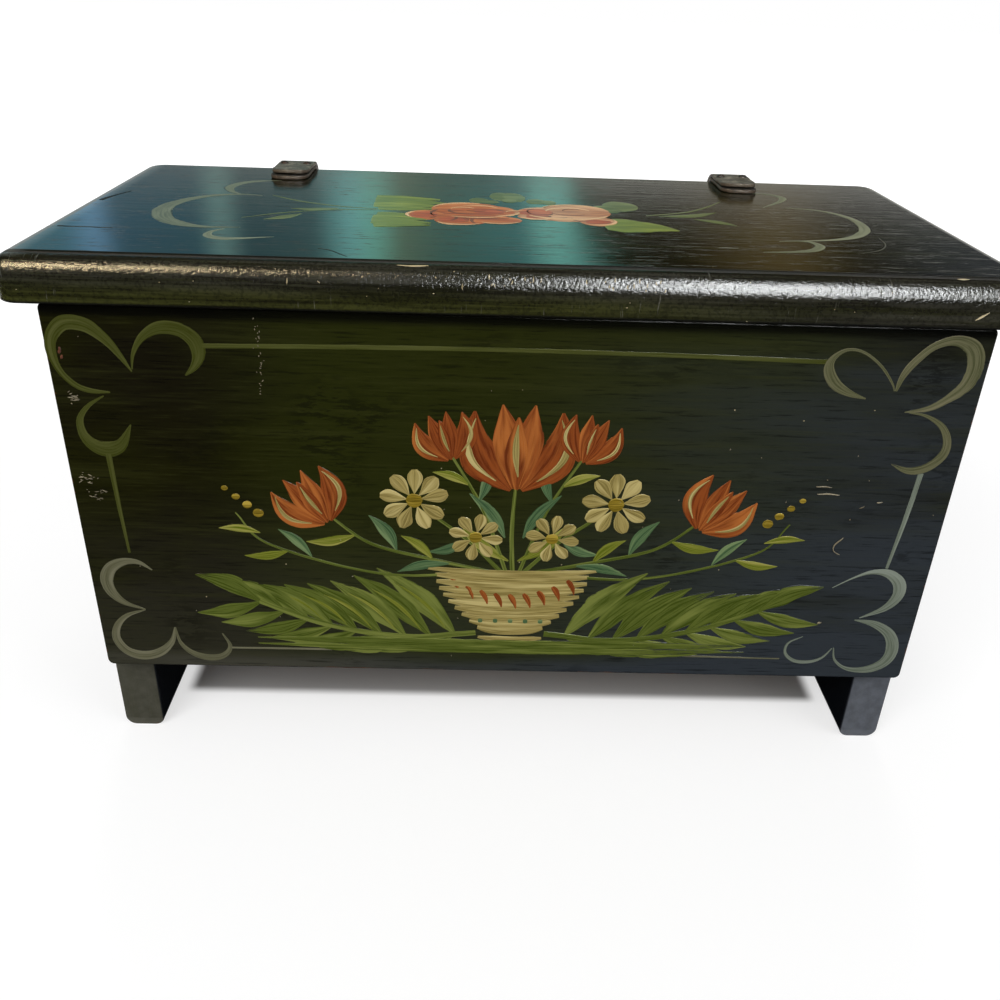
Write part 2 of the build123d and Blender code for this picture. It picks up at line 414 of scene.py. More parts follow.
def add_mesh(name, points, faces, material, flat=True, **held):
    """A mesh object from points in metres. held gives three numbers to each point, by name."""
    mesh = bpy.data.meshes.new(name)
    mesh.from_pydata(points, [], faces, shade_flat=flat)
    mesh.materials.append(material)
    for word, rows in held.items():
        attribute = mesh.attributes.new(word, "FLOAT_VECTOR", "POINT")
        attribute.data.foreach_set("vector", np.array(rows, np.float32).ravel())
    return add(name, mesh)


# Brush strokes

def smooth(points, count):
    """A Catmull-Rom line through the rows of points, as count even steps."""
    rows = np.array(points, float)
    rows = np.vstack([2 * rows[0] - rows[1], rows, 2 * rows[-1] - rows[-2]])
    found = []
    for i in range(1, len(rows) - 2):
        a, b, c, d = rows[i - 1:i + 3]
        for t in np.linspace(0, 1, 24, endpoint=False):
            cubic = 2 * b + (c - a) * t + (2 * a - 5 * b + 4 * c - d) * t ** 2
            found.append((cubic + (3 * b - a - 3 * c + d) * t ** 3) / 2)
    found.append(rows[-2])
    found = np.array(found)
    gaps = np.linalg.norm(np.diff(found[:, :2], axis=0), axis=1)
    reach = np.concatenate([[0], np.cumsum(gaps)])
    even = np.linspace(0, reach[-1], count)
    return np.stack([np.interp(even, reach, column) for column in found.T], 1), even


def wander(count, reach, size):
    """A seeded smooth line of small errors, as a hand makes along a stroke."""
    knots = max(4, int(reach / 5))
    return np.interp(np.linspace(0, 1, count), np.linspace(0, 1, knots), rng.normal(0, size, knots))


ACROSS = np.array([-1.0, -0.95, -0.8, -0.4, 0.0, 0.4, 0.8, 0.95, 1.0])
RAISED = np.array([0.0, 0.75, 0.95, 1.0, 1.0, 1.0, 0.95, 0.75, 0.0])
# A stroke's sizes in millimetres
SUNK = 0.02
STEP_LONG = 1.1
THINNEST = 0.12
FIRST_RISE = 0.03
LAYER_RISE = 0.02
ROW_RISE = 0.0004
END_LONG = 0.6


def on_front(a, b, h):
    """Places on the case front, b measured up from just above its lower edge."""
    return np.stack([a, FACE_Y - h, PANEL_Z + PAINT_RISE + b], 1)


def on_lid(a, b, h):
    """Places on the lid's face, b measured back from the case front."""
    return np.stack([a, FACE_Y + b, LID_TOP + h], 1)


def on_nose(a, b, h):
    """a along the lid, b down its rounded front edge from the shoulder."""
    turn = np.clip(b / NOSE, 0, math.pi / 2)
    fall = np.maximum(b - NOSE * math.pi / 2, 0)
    z = LID_TOP - SHOULDER_DROP - NOSE + (NOSE + h) * np.cos(turn) - fall
    return np.stack([a, SHOULDER_Y - (NOSE + h) * np.sin(turn), z], 1)


BRUSHES = []


class Brush:
    """Collects the strokes of one paint and makes them into one thin raised mesh."""

    def __init__(self, name, paint_name, layer, place=None):
        self.name = name
        self.material, ground = PAINTS[paint_name]
        self.body = {"front": "case", "lid": "lid"}[ground]
        self.place = place or {"front": on_front, "lid": on_lid}[ground]
        self.layer = layer
        self.points = []
        self.faces = []
        self.stroke = []
        self.fade = []
        self.total = 0
        BRUSHES.append(self)

    def draw(self, points, dry=0.3, shake=0.05, tone=None):
        """points are rows of place, place and width in millimetres."""
        rows = np.array(points, float)
        span = np.linalg.norm(np.diff(rows[:, :2], axis=0), axis=1).sum()
        count = int(np.clip(span / STEP_LONG, 12, 160))
        line, reach = smooth(rows, count)
        heading = np.gradient(line[:, :2], axis=0)
        heading /= np.linalg.norm(heading, axis=1)[:, None] + 1e-9
        side = np.stack([-heading[:, 1], heading[:, 0]], 1)
        half = np.maximum(line[:, 2], THINNEST) / 2
        lift = FIRST_RISE + LAYER_RISE * self.layer + ROW_RISE * len(self.stroke)
        seed = rng.random()
        tone = rng.random() if tone is None else tone
        ends = np.clip(np.minimum(reach, reach[-1] - reach) / END_LONG, 0, 1)
        right = 1 + wander(count, span, shake)
        left = 1 + wander(count, span, shake)
        for v, up in zip(ACROSS, RAISED):
            at = line[:, :2] + side * (half * (right if v > 0 else left) * v)[:, None]
            high = -SUNK + (lift + SUNK) * up * (0.2 + 0.8 * ends)
            self.points.append(self.place(at[:, 0], at[:, 1], high))
            same = np.ones(count)
            self.stroke.append(np.stack([reach, v * same, seed * same], 1))
            self.fade.append(np.stack([np.linspace(0, 1, count), dry * same, tone * same], 1))
        for j in range(len(ACROSS) - 1):
            first = self.total + j * count
            for a in range(first, first + count - 1):
                self.faces.append((a, a + 1, a + count + 1, a + count))
        self.total += count * len(ACROSS)

    def draw_all(self, strokes, dry, shake):
        for points in strokes:
            self.draw(points, dry, shake)

    def make(self):
        points = (np.vstack(self.points) * MM).tolist()
        held = {"stroke": np.vstack(self.stroke), "fade": np.vstack(self.fade)}
        piece = add_mesh(self.name, points, self.faces, self.material, flat=False, **held)
        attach(piece, self.body)


def paint(name, ground, main, light, deep, thin, roughness, gloss):
    """Brushed paint over the ground: streaked by the bristles, thin at edges and dry ends."""
    g = Graph(name)
    below, relief = old_paint(g, "x", front_painted_sheen(g)) if ground == "front" else lid_paint(g)[:2]
    stroke = g.attribute("stroke")
    across = g.split(stroke)[1]
    share, dry, tone = g.split(g.attribute("fade"))
    bristle = g.noise((0.05, 5.0, 47.0), 4.0, 0.62, stroke)
    sweep = g.noise((0.03, 1.3, 19.0), 2.0, 0.5, stroke)
    blot = g.noise(0.35, 4.0, 0.6)
    colour = g.mix(g.step(bristle, 0.38, 0.6), tint(*deep), tint(*main))
    loaded = sweep + across * 0.06 + (tone * 0.2 - 0.1)
    colour = g.mix(g.step(loaded, 0.46, 0.72), colour, tint(*light))
    rim = g.step(abs(across), 1.0, 0.72)
    tail = g.step(share, 0.3, 1.0) * dry
    cover = bristle + rim * 0.42 + (blot - 0.5) * 0.4 + (relief - 0.6) * 0.45 - tail * 0.55 - thin
    colour = g.mix(g.step(cover, 0.33, 0.47), below, colour)
    height = bristle * 0.4 + relief
    return g.finish(colour, bristle * 0.15 + (roughness - 0.07), height, 0.12, gloss)


def curve(start, end, bend, profile, belly):
    """A stroke from start to end that bends to its left, as wide as the profile says."""
    a = np.array(start, float)
    b = np.array(end, float)
    t = np.linspace(0, 1, len(profile))
    normal = np.array([-(b - a)[1], (b - a)[0]])
    normal /= np.linalg.norm(normal) + 1e-9
    at = a + np.outer(t, b - a) + np.outer(np.sin(math.pi * t) * bend, normal)
    return np.column_stack([at, np.array(profile) * belly])


def comma(start, end, belly, bend=0.0):
    """A stroke that begins round and full and runs out to a thin tail."""
    return curve(start, end, bend, [0.35, 0.82, 1.0, 0.9, 0.66, 0.36, 0.06], belly)


def leaf(start, end, belly, bend=0.0):
    """A stroke that is thin at both ends and full in the middle."""
    return curve(start, end, bend, [0.1, 0.5, 0.86, 1.0, 0.84, 0.48, 0.06], belly)


def dab(x, z, half_long, half_wide, degrees=0.0):
    """A round or oval touch of the brush."""
    turn = math.radians(degrees)
    s = np.sin(np.linspace(-math.pi / 2, math.pi / 2, 11))
    wide = 2 * half_wide * np.sqrt(np.clip(1 - s ** 2, 0.004, 1))
    along = half_long * s
    return np.column_stack([x + along * math.cos(turn), z + along * math.sin(turn), wide])


# The paints: ground, main, light and deep colours, and how thinly each is laid on
ORNAMENT = {
    "front_olive": ("front", (66, 70, 28), (76, 79, 38), (56, 60, 18), 0.0),
    "front_bronze": ("front", (98, 97, 70), (114, 110, 84), (74, 76, 50), 0.02),
    "front_sage": ("front", (112, 120, 106), (128, 136, 124), (92, 100, 86), -0.04),
    "front_moss": ("front", (98, 96, 72), (112, 110, 88), (78, 78, 58), -0.04),
    "front_grass": ("front", (88, 98, 38), (112, 120, 56), (62, 74, 20), 0.02),
    "front_spring": ("front", (118, 122, 44), (150, 146, 72), (88, 98, 20), 0.0),
    "front_teal": ("front", (84, 108, 70), (112, 132, 88), (52, 78, 50), 0.0),
    "front_orange": ("front", (136, 68, 26), (168, 98, 44), (100, 44, 16), 0.0),
    "front_cream": ("front", (158, 142, 84), (186, 170, 112), (120, 106, 56), 0.0),
    "front_yellow": ("front", (138, 116, 32), (172, 148, 58), (96, 80, 18), 0.0),
    "lid_scroll": ("lid", (110, 116, 90), (130, 134, 108), (84, 90, 66), -0.02),
    "lid_leaf": ("lid", (108, 122, 40), (132, 142, 54), (82, 97, 26), -0.08),
    "lid_sage": ("lid", (96, 106, 56), (114, 123, 74), (72, 83, 42), -0.06),
    "lid_rose": ("lid", (178, 88, 34), (200, 118, 58), (144, 60, 20), -0.1),
    "lid_pink": ("lid", (186, 126, 84), (208, 158, 116), (156, 92, 58), -0.1),
    "lid_blush": ("lid", (172, 74, 36), (192, 98, 54), (142, 54, 26), -0.1),
    "lid_peach": ("lid", (216, 172, 122), (228, 190, 144), (192, 138, 92), -0.05),
    "lid_fold": ("lid", (112, 48, 24), (126, 60, 32), (88, 36, 18), -0.05),
}
MARKS = {
    "scuff_cream": ("front", (116, 106, 84), (152, 142, 116), (78, 70, 52), 0.05),
    "chip_orange": ("front", (96, 50, 30), (122, 68, 40), (66, 34, 22), 0.05),
    "crack_black": ("lid", (14, 13, 9), (22, 20, 14), (6, 6, 4), 0.05),
    "nick_cream": ("lid", (186, 168, 126), (214, 200, 164), (140, 122, 84), 0.05),
    "scratch_grey": ("lid", (92, 92, 80), (112, 112, 98), (66, 66, 54), 0.05),
}
SHINE = {"front": (0.28, 0.15), "lid": (0.3, 0.18)}
MARK_SHINE = (0.55, 0.3)
PAINTS = {
    name: (paint(name + "_paint", *row, *SHINE[row[0]]), row[0]) for name, row in ORNAMENT.items()
}
PAINTS |= {name: (paint(name, *row, *MARK_SHINE), row[0]) for name, row in MARKS.items()}


# The border of the front

# The strokes of each paint: how dry the brush runs and the rows of place, place and width
BORDER = {
    "olive": [
        # upper left corner
        (0.15, [(-157, 148, 0.5), (-161, 155, 2.6), (-166, 162, 4.6), (-173, 167.5, 6.0),
            (-181, 168, 6.2), (-186.5, 163, 5.2), (-188, 156, 4.2), (-186, 148, 3.0),
            (-181, 142, 2.6), (-175, 139.5, 2.2), (-167, 139, 0.6)]),
        (0.2, [(-157, 149, 0.5), (-155.5, 156, 1.6), (-151, 163, 3.4), (-144, 167, 5.2),
            (-136, 166.5, 6.0), (-130.5, 162, 6.6), (-129.5, 156, 5.6), (-132, 151, 3.2),
            (-136, 147, 0.5)]),
        (0.3, [(-170, 137.5, 0.6), (-177, 133, 1.8), (-181.5, 127, 2.8), (-181.5, 120, 4.0),
            (-178, 115, 6.0), (-172, 113, 7.6), (-166, 116, 5.4), (-161, 125, 0.5)]),
        # the upper and left lines
        (0.3, [(-129, 160, 2.0), (-60, 161.2, 2.0), (0, 161.6, 1.9), (60, 161.2, 2.0),
            (124, 160.2, 2.2)]),
        (0.2, [(-172.5, 112, 2.6), (-172, 88, 1.9), (-171, 62, 1.2)]),
    ],
    "bronze": [
        # upper right corner
        (0.45, [(143, 144.5, 0.5), (135, 147, 3.2), (128.5, 151, 4.8), (125, 157, 4.4),
            (126, 162, 2.6), (131, 165.5, 1.4), (138, 164.5, 1.2), (146, 159, 1.2),
            (152, 152, 1.0), (154, 148, 0.5)]),
        (0.6, [(154.5, 148, 1.0), (156, 155, 2.8), (160, 162, 3.4), (166, 168, 3.4),
            (174, 170.5, 4.6), (181.5, 167.5, 6.8), (184.5, 160, 7.6), (183, 152, 6.4),
            (177.5, 146, 4.6), (170, 141, 3.0), (160, 139, 0.5)]),
        (0.75, [(162, 139, 0.6), (170, 137.5, 1.4), (177.5, 133, 2.6), (181.5, 126, 3.6),
            (181, 119, 4.6), (175, 113.5, 4.8), (168, 112, 3.6), (160, 115, 0.5)]),
    ],
    "sage": [
        # lower right corner
        (0.4, [(147, 51, 0.4), (155.5, 56.5, 0.9), (163.5, 60, 2.2), (171.5, 59.5, 4.4),
            (177.5, 54.5, 6.0), (178.5, 47.5, 5.8), (174, 40.5, 3.6), (163, 34.5, 0.5)]),
        (0.25, [(161, 33.5, 0.5), (170.5, 31.5, 3.4), (179, 26, 5.2), (182.8, 17.5, 6.2),
            (180.5, 9, 5.8), (172.5, 4.5, 4.0), (163, 5, 2.0), (156.5, 10, 1.2),
            (154.5, 17.5, 0.5)]),
        (0.8, [(154, 17, 0.5), (150, 11, 1.2), (144, 8.5, 1.8), (137, 9, 2.0), (132, 13.5, 1.6),
            (132.5, 19.5, 1.2), (139, 23.5, 0.4)]),
        # the right line
        (0.3, [(174, 111, 2.4), (172.5, 88, 2.2), (170, 62, 1.4)]),
    ],
    "moss": [
        # lower left corner
        (0.35, [(-162, 53, 0.5), (-167.5, 57, 2.2), (-174, 57.5, 3.8), (-180.5, 54, 5.4),
            (-183.5, 47.5, 6.0), (-182, 40.5, 4.8), (-177, 35, 2.8), (-168, 31.5, 0.5)]),
        (0.3, [(-168, 31.5, 0.5), (-177, 28, 2.2), (-182.5, 22, 3.2), (-184, 14.5, 4.0),
            (-180.5, 8, 4.6), (-173.5, 5, 5.0), (-165, 7, 4.4), (-158.5, 13.5, 2.8),
            (-156, 22, 0.6)]),
        (0.4, [(-156, 22, 0.6), (-154.5, 13, 1.8), (-149.5, 7, 3.0), (-142, 4.5, 3.6),
            (-135, 6, 3.0), (-131.5, 11.5, 2.0), (-134.5, 19, 0.5)]),
        # the lower line
        (0.6, [(-132, 10.5, 1.0), (-60, 10.8, 1.2), (10, 11, 1.2), (80, 10.6, 1.1),
            (130, 10, 0.8)]),
    ],
}


def paint_border():
    for word, strokes in BORDER.items():
        brush = Brush(f"front_border_{word}", f"front_{word}", 0)
        for dry, points in strokes:
            brush.draw(points, dry, 0.035)


# The flowers of the front

def mirrored(points):
    """The stroke and its mirror image about the middle of the front."""
    rows = np.array(points, float)
    return [rows, rows * [-1, 1, 1]]


def turned(points, x, z, degrees, size):
    """The stroke made larger, turned and set down at x, z."""
    turn = math.radians(degrees)
    rows = np.array(points, float) * size
    a = rows[:, 0] * math.cos(turn) - rows[:, 1] * math.sin(turn)
    b = rows[:, 0] * math.sin(turn) + rows[:, 1] * math.cos(turn)
    return np.column_stack([x + a, z + b, rows[:, 2]])


def paint_fronds():
    """Broad grass-green leaves that sweep out from the bowl to both sides."""
    sweep = Brush("front_frond_leaves", "front_grass", 0)
    light = Brush("front_frond_highlights", "front_spring", 1)
    for side in (-1, 1):
        flip = [side, 1, 1]
        spine = smooth([(16, 22), (50, 19), (88, 26), (125, 42)], 60)[0]
        for k in range(9):
            root = spine[5 + 6 * k]
            far = 1 - k / 11
            up = root + np.array([26 + 10 * far, 30 * far + 6])
            down = root + np.array([30, -6 - 3 * far])
            for tip, belly, bend in ((up, 8.5 + 3.5 * far, 2.5), (down, 7.5, -2.0)):
                sweep.draw(leaf(root, tip, belly, bend) * flip, 0.55 + 0.4 * rng.random(), 0.06)
            light.draw(leaf(root + [4, 2.5], root + (up - root) * 0.8, 2.0, 2.6) * flip, 0.8, 0.05)
        ground = np.column_stack([spine, np.full(60, 3.0)]) * flip
        sweep.draw(ground[::6], 0.5, 0.05)
    for z, width in ((17.0, 5.0), (13.5, 4.0)):
        middle = [(-60, z - 1, width), (0, z - 1.5, width), (60, z - 1, width)]
        sweep.draw([(-118, z, 0.6), *middle, (112, z, 0.6)], 0.8, 0.06)


def across_bowl(*rows):
    """A stroke across the bowl, from the rows of its left half and its middle."""
    return [*rows, *[(-x, z, width) for x, z, width in rows[-2::-1]]]


def paint_bowl():
    """A footed cream bowl with an orange band."""
    body = Brush("front_bowl_body", "front_cream", 2)
    band = Brush("front_bowl_band", "front_orange", 3)
    trim = Brush("front_bowl_trim", "front_teal", 3)
    for k in range(9):
        z = 24 + 3.6 * k
        half = 13 + 22 * math.sin(math.pi * 0.5 * (k + 0.6) / 9)
        rows = (-half, z + 1.2, 2.0), (-half * 0.6, z, 4.6), (0, z - 0.6, 4.8)
        body.draw(across_bowl(*rows), 0.15, 0.03)
    body.draw(across_bowl((-15, 19.5, 1.5), (-8, 18.6, 3.4), (0, 18.4, 3.6)), 0.2)
    body.draw(across_bowl((-39, 57.5, 1.5), (-20, 55.6, 3.6), (0, 55.0, 3.8)), 0.2)
    for k in range(-4, 5):
        x = 6.6 * k
        rise = 0.012 * x * x
        band.draw(comma((x - 1.6, 44.5 + rise), (x + 2.4, 35.5 + rise), 3.0, 0.8), 0.2)
    for k in range(-2, 3):
        trim.draw(dab(7.0 * k, 29.0, 1.5, 1.3), 0.1)


STEMS = [
    [(0, 56, 2.2), (-1, 78, 1.9), (0, 104, 1.6)],
    [(5, 56, 2.0), (20, 72, 1.8), (40, 88, 1.4)],
    [(10, 56, 2.0), (36, 62, 1.8), (64, 70, 1.6), (84, 86, 1.2)],
    [(3, 56, 1.8), (14, 88, 1.6), (29, 116, 1.2)],
    [(14, 55, 1.6), (60, 54, 1.4), (108, 68, 1.2), (122, 84, 0.8)],
]
TEAL_LEAVES = [
    ((4, 74), (20, 96), 6.0, 2.0), ((22, 72), (38, 66), 5.0, -1.6), ((52, 66), (64, 84), 6.0, 2.0),
    ((16, 92), (12, 112), 5.0, 1.4), ((90, 62), (104, 76), 5.0, 1.4),
    ((28, 60), (52, 55), 5.0, 1.4),
]
SPRING_LEAVES = [
    ((2, 62), (24, 82), 6.0, -2.4), ((36, 62), (50, 74), 5.0, 1.6),
    ((70, 74), (92, 70), 5.0, -1.6), ((20, 100), (36, 106), 4.6, 1.2),
    ((100, 65), (120, 62), 4.6, -1.4), ((112, 74), (130, 76), 4.0, 1.2),
]


def paint_stems():
    stems = Brush("front_stems", "front_grass", 1)
    stems.draw(STEMS[0], 0.3, 0.05)
    for points in STEMS[1:]:
        stems.draw_all(mirrored(points), 0.3, 0.05)
    cool = Brush("front_teal_leaves", "front_teal", 2)
    warm = Brush("front_spring_leaves", "front_spring", 2)
    for brush, shapes in ((cool, TEAL_LEAVES), (warm, SPRING_LEAVES)):
        for shape in shapes:
            brush.draw_all(mirrored(leaf(*shape)), 0.4, 0.05)


TULIP_SIDES = [((-0.06, 0.0), (-0.46, 0.92), 0.42, 0.16), ((0.06, 0.0), (0.46, 0.92), 0.42, -0.16)]
TULIP_FRONT = [
    ((-0.03, 0.02), (-0.17, 1.0), 0.34), ((0.03, 0.02), (0.17, 1.0), 0.34),
    ((0, 0), (0, 0.86), 0.36),
]
TULIP_RIMS = [
    ((-0.2, 0.1), (-0.44, 0.86), 0.08, 0.2), ((0.2, 0.1), (0.44, 0.86), 0.08, -0.2),
    ((0.02, 0.14), (0.0, 0.8), 0.08, 0.03),
]


def tulip(petals, rims, *place):
    """An open tulip of five petals and three pale rims. place is x, z, degrees and size."""
    layers = [(petals, TULIP_SIDES, 0.25), (petals, TULIP_FRONT, 0.2), (rims, TULIP_RIMS, 0.6)]
    for brush, shapes, dry in layers:
        shake = 0.05 if brush is rims else 0.04
        brush.draw_all([turned(leaf(*shape), *place) for shape in shapes], dry, shake)


def daisy(petals, hearts, x, z, reach, count, start):
    """A daisy of plump petals round a yellow heart."""
    middle = np.array([x, z])
    for k in range(count):
        turn = math.radians(start + 360 * k / count + rng.normal(0, 3))
        out = reach * np.array([math.cos(turn), math.sin(turn)])
        petals.draw(comma(middle + out, middle + 0.22 * out, 0.46 * reach, 0.3), 0.25, 0.06)
    hearts.draw(dab(x, z, 0.24 * reach, 0.23 * reach), 0.0)


def paint_flowers():
    orange = Brush("front_tulip_petals", "front_orange", 4)
    rims = Brush("front_tulip_rims", "front_cream", 6)
    cream = Brush("front_daisy_petals", "front_cream", 4)
    hearts = Brush("front_daisy_hearts", "front_yellow", 6)
    tulip(orange, rims, 0, 98, 0, 40)
    for side in (-1, 1):
        tulip(orange, rims, side * 82, 80, -side * 32, 27)
        tulip(orange, rims, side * 28, 112, -side * 16, 22)
        daisy(cream, hearts, side * 44, 92, 15, 9, 90)
        daisy(cream, hearts, side * 17, 74, 12, 8, 80)
        for k in range(4):
            bud = dab(side * (112 + 4.5 * k), 84 + 4.0 * k, 2.4 - 0.3 * k, 2.1 - 0.3 * k)
            hearts.draw(bud, 0.1)


# The ornament of the lid

SCROLLS = [
    [(-124, 116, 0.6), (-134, 118, 2.0), (-147, 113, 4.2), (-158, 100, 6.4), (-162, 84, 8.4),
     (-158, 66, 9.4), (-148, 54, 7.8), (-136, 49, 4.0), (-120, 50, 0.6)],
    [(-122, 155, 0.6), (-133, 152, 3.4), (-141, 145, 5.2), (-144, 134, 5.4), (-141, 124, 3.4),
     (-135, 118, 0.8)],
    [(-126, 47, 0.6), (-130.5, 41, 2.4), (-130, 34, 4.2), (-124, 30, 4.4), (-116, 31, 3.0),
     (-103, 35, 0.5)],
    [(134, 124, 0.6), (148, 121, 2.0), (157, 112, 3.4), (161, 98, 4.6), (159, 80, 5.4),
     (150, 66, 4.6), (136, 58, 2.6), (112, 53, 0.6)],
    [(119, 55, 0.6), (126, 53, 2.6), (128, 46, 4.4), (123, 39, 4.4), (114, 35, 3.2),
     (100, 33, 0.6)],
    [(124, 159, 0.6), (133, 158, 2.4), (139, 151, 4.0), (137, 142, 3.8), (130, 132, 2.2),
     (123, 124, 0.6)],
]
LID_STEMS = [
    [(-120, 118, 0.8), (-104, 106, 1.8), (-86, 98, 1.6), (-66, 94, 1.0)],
    [(-124, 68, 0.8), (-108, 80, 1.8), (-88, 89, 1.6), (-66, 92, 1.0)],
    [(60, 96, 1.0), (80, 106, 1.8), (92, 118, 1.4), (104, 135, 0.5)],
]
STEM_LEAVES = [
    ((-84, 93), (-106, 90), 6.0, 2.0), ((-99, 80), (-114, 66), 6.0, 1.5),
    ((66, 96), (96, 108), 7.0, -3.0), ((82, 92), (100, 80), 6.5, 1.5),
]


def paint_scrolls():
    brush = Brush("lid_scrolls", "lid_scroll", 0)
    brush.draw_all(SCROLLS, 0.3, 0.05)
    stems = Brush("lid_stems", "lid_sage", 0)
    stems.draw_all(LID_STEMS, 0.3, 0.05)
    stems.draw_all([leaf(*shape) for shape in STEM_LEAVES], 0.4, 0.06)


BLUNT = [0.85, 1.0, 1.0, 0.95, 0.85, 0.62, 0.2]
BROAD = [0.6, 0.9, 1.0, 0.92, 0.7, 0.4, 0.06]
SQUARE_LEAVES = [
    (-69, 121, -38, 118, 11), (-70, 112, -34, 110, 12), (-69, 103, -36, 103, 12),
    (-66, 96, -38, 97, 9), (-66, 84, -44, 80, 8), (-68, 77, -42, 74, 10), (-66, 69, -40, 68, 10),
    (-64, 62, -40, 64, 8),
]
BUDS = [
    (50, 115, 9, 12, 0), (43, 108, 7, 9, 20), (-19, 120, 5, 6, 0), (-14, 117, 5, 5, 0),
    (-8, 131, 6, 10, 0), (-2, 130, 6, 11, 10), (-4, 121, 4, 5, 0), (9, 121, 5, 6, 0),
    (15, 119, 4, 5, 0),
]


def paint_lid_leaves():
    """Two broad square-ended leaves at the left, two pointed ones at the right, buds between."""
    light = Brush("lid_leaves", "lid_leaf", 1)
    cool = Brush("lid_sage_leaves", "lid_sage", 1)
    for x, y, far_x, far_y, belly in SQUARE_LEAVES:
        light.draw(curve((x + rng.normal(0, 0.8), y), (far_x, far_y), 0.8, BLUNT, belly), 0.55, 0.1)
    light.draw(curve((38, 72), (71, 67), 3.0, BROAD, 24), 0.1, 0.03)
    light.draw(leaf((36, 80), (58, 80), 10, 3.0), 0.4, 0.05)
    for bud in BUDS:
        cool.draw(dab(*bud), 0.2)


def rose(name, lobes, blushes, rims, folds, base):
    """A rose of round lobes painted wet together, some redder, with pale rims and darker folds."""
    petals = Brush(name + "_petals", base, 2)
    reds = Brush(name + "_blush", "lid_blush", 3)
    lights = Brush(name + "_rims", "lid_peach", 4)
    darks = Brush(name + "_folds", "lid_fold", 3)
    for brush, dabs, dry, shake in ((petals, lobes, 0.0, 0.03), (reds, blushes, 0.75, 0.12)):
        for shape in dabs:
            brush.draw(dab(*shape, rng.normal(0, 3)), dry, shake, 0.5)
    for brush, arcs, press in ((lights, rims, 1.9), (darks, folds, 1.5)):
        for x, y, a, b, start, end, width in arcs:
            turn = np.radians(np.linspace(start, end, 9))
            profile = press * width * np.sin(np.linspace(0.12, math.pi - 0.12, 9)) ** 0.8
            rows = np.column_stack([x + a * np.cos(turn), y + b * np.sin(turn), profile])
            brush.draw(rows, 0.5, 0.08)


def paint_roses():
    left = [
        (-43, 85, 9, 10), (-24, 98, 18, 15), (-12, 96, 11, 12), (-27, 75, 12, 9), (-10, 78, 11, 8),
        (-22, 86, 14, 10),
    ]
    left_rims = [
        (-24, 99, 17, 14, 70, 170, 1.3), (-20, 100, 11, 8, 20, 130, 1.0),
        (-18, 95, 18, 10, -70, 5, 1.2), (-22, 91, 18, 9, 235, 325, 1.3),
        (-27, 74, 11, 7, 195, 330, 1.2), (-10, 77, 10, 6, 215, 345, 1.1),
        (-44, 85, 8, 8, 110, 230, 0.9), (-26, 99, 6, 4, 30, 190, 0.8),
    ]
    left_folds = [
        (-34, 89, 7, 9, 120, 230, 1.6), (-22, 96, 11, 8, 160, 280, 1.5),
        (-17, 84, 14, 4, 200, 340, 1.3), (-36, 80, 7, 7, -60, 40, 1.3),
        (-18, 76, 4, 7, 60, 250, 1.1), (-20, 99, 6, 4, 210, 330, 1.1),
    ]
    left_blush = [(-44, 85, 7, 7.5), (-30, 76, 8, 5), (-14, 95, 8, 6)]
    rose("lid_left_rose", left, left_blush, left_rims, left_folds, "lid_rose")
    right = [
        (0, 95, 6, 5), (12, 97, 13, 11), (27, 100, 17, 15), (20, 90, 18, 10), (8, 87, 9, 6),
        (36, 81, 9, 9), (22, 85, 11, 6),
    ]
    right_rims = [
        (26, 101, 17, 14, 15, 150, 1.4), (22, 95, 20, 11, 205, 350, 2.0),
        (24, 100, 11, 8, 20, 190, 1.1), (36, 82, 8, 8, 235, 390, 1.4),
        (8, 87, 8, 5, 190, 340, 1.3), (22, 91, 14, 7, 215, 330, 1.3), (0, 95, 6, 4, 60, 190, 1.0),
    ]
    right_folds = [
        (12, 98, 8, 8, 120, 250, 1.3), (24, 98, 9, 6, 190, 330, 1.2), (14, 89, 9, 4, 190, 350, 1.0),
        (30, 85, 6, 5, 150, 300, 1.0), (26, 102, 5, 4, 30, 200, 0.9),
    ]
    right_blush = [(8, 96, 9, 8), (9, 87, 7, 4.5), (36, 80, 7, 6)]
    rose("lid_right_rose", right, right_blush, right_rims, right_folds, "lid_pink")


# The leather straps

STRAP_X = 119.5
STRAP_HALF = 10.0
PLY = 2.0
PLY_GAP = 0.1
END_ROUND = 7.0
STRAP_FRONT = 57.8
STRAP_FOOT = 178.5
SETBACK = 2.5
TRIMMED = 0.12
RAGGED = 0.3
CURL_LONG = 12.0
CURL_RISE = 0.7


def strap_path(layer):
    """The middle of one ply from its front end over the lid and down the case."""
    offset = PLY_GAP + layer * (PLY + PLY_GAP) + PLY / 2
    back = LID_HIGH[1]
    nose_y = back - NOSE
    nose_z = LID_TOP - NOSE
    front = STRAP_FRONT + layer * SETBACK
    rows = [(y, LID_TOP + offset, 0.0, 1.0) for y in np.arange(front, nose_y, 0.9)]
    for turn in np.linspace(math.pi / 2, 0, 18):
        c, s = math.cos(turn), math.sin(turn)
        rows.append((nose_y + (NOSE + offset) * c, nose_z + (NOSE + offset) * s, c, s))
    foot = STRAP_FOOT + layer * SETBACK
    for z in np.arange(nose_z - 0.8, foot, -0.8):
        rows.append((back + offset, z, 1.0, 0.0))
    rows.append((back + offset, foot, 1.0, 0.0))
    return np.array(rows)


def ply_section():
    """One ply's outline across its width: side place, thickness place, edge share."""
    face = [k / 5 * 0.93 for k in range(-5, 6)]
    cut = [(0.98, 0.86, 0.6), (1.0, 0.45, 1.0), (1.0, -0.45, 1.0), (0.98, -0.86, 0.8)]
    top = [(a, 1.0, 0.0) for a in face]
    foot = [(a, -1.0, 0.0) for a in face[::-1]]
    return top + cut + foot + [(-a, b, edge) for a, b, edge in cut[::-1]]


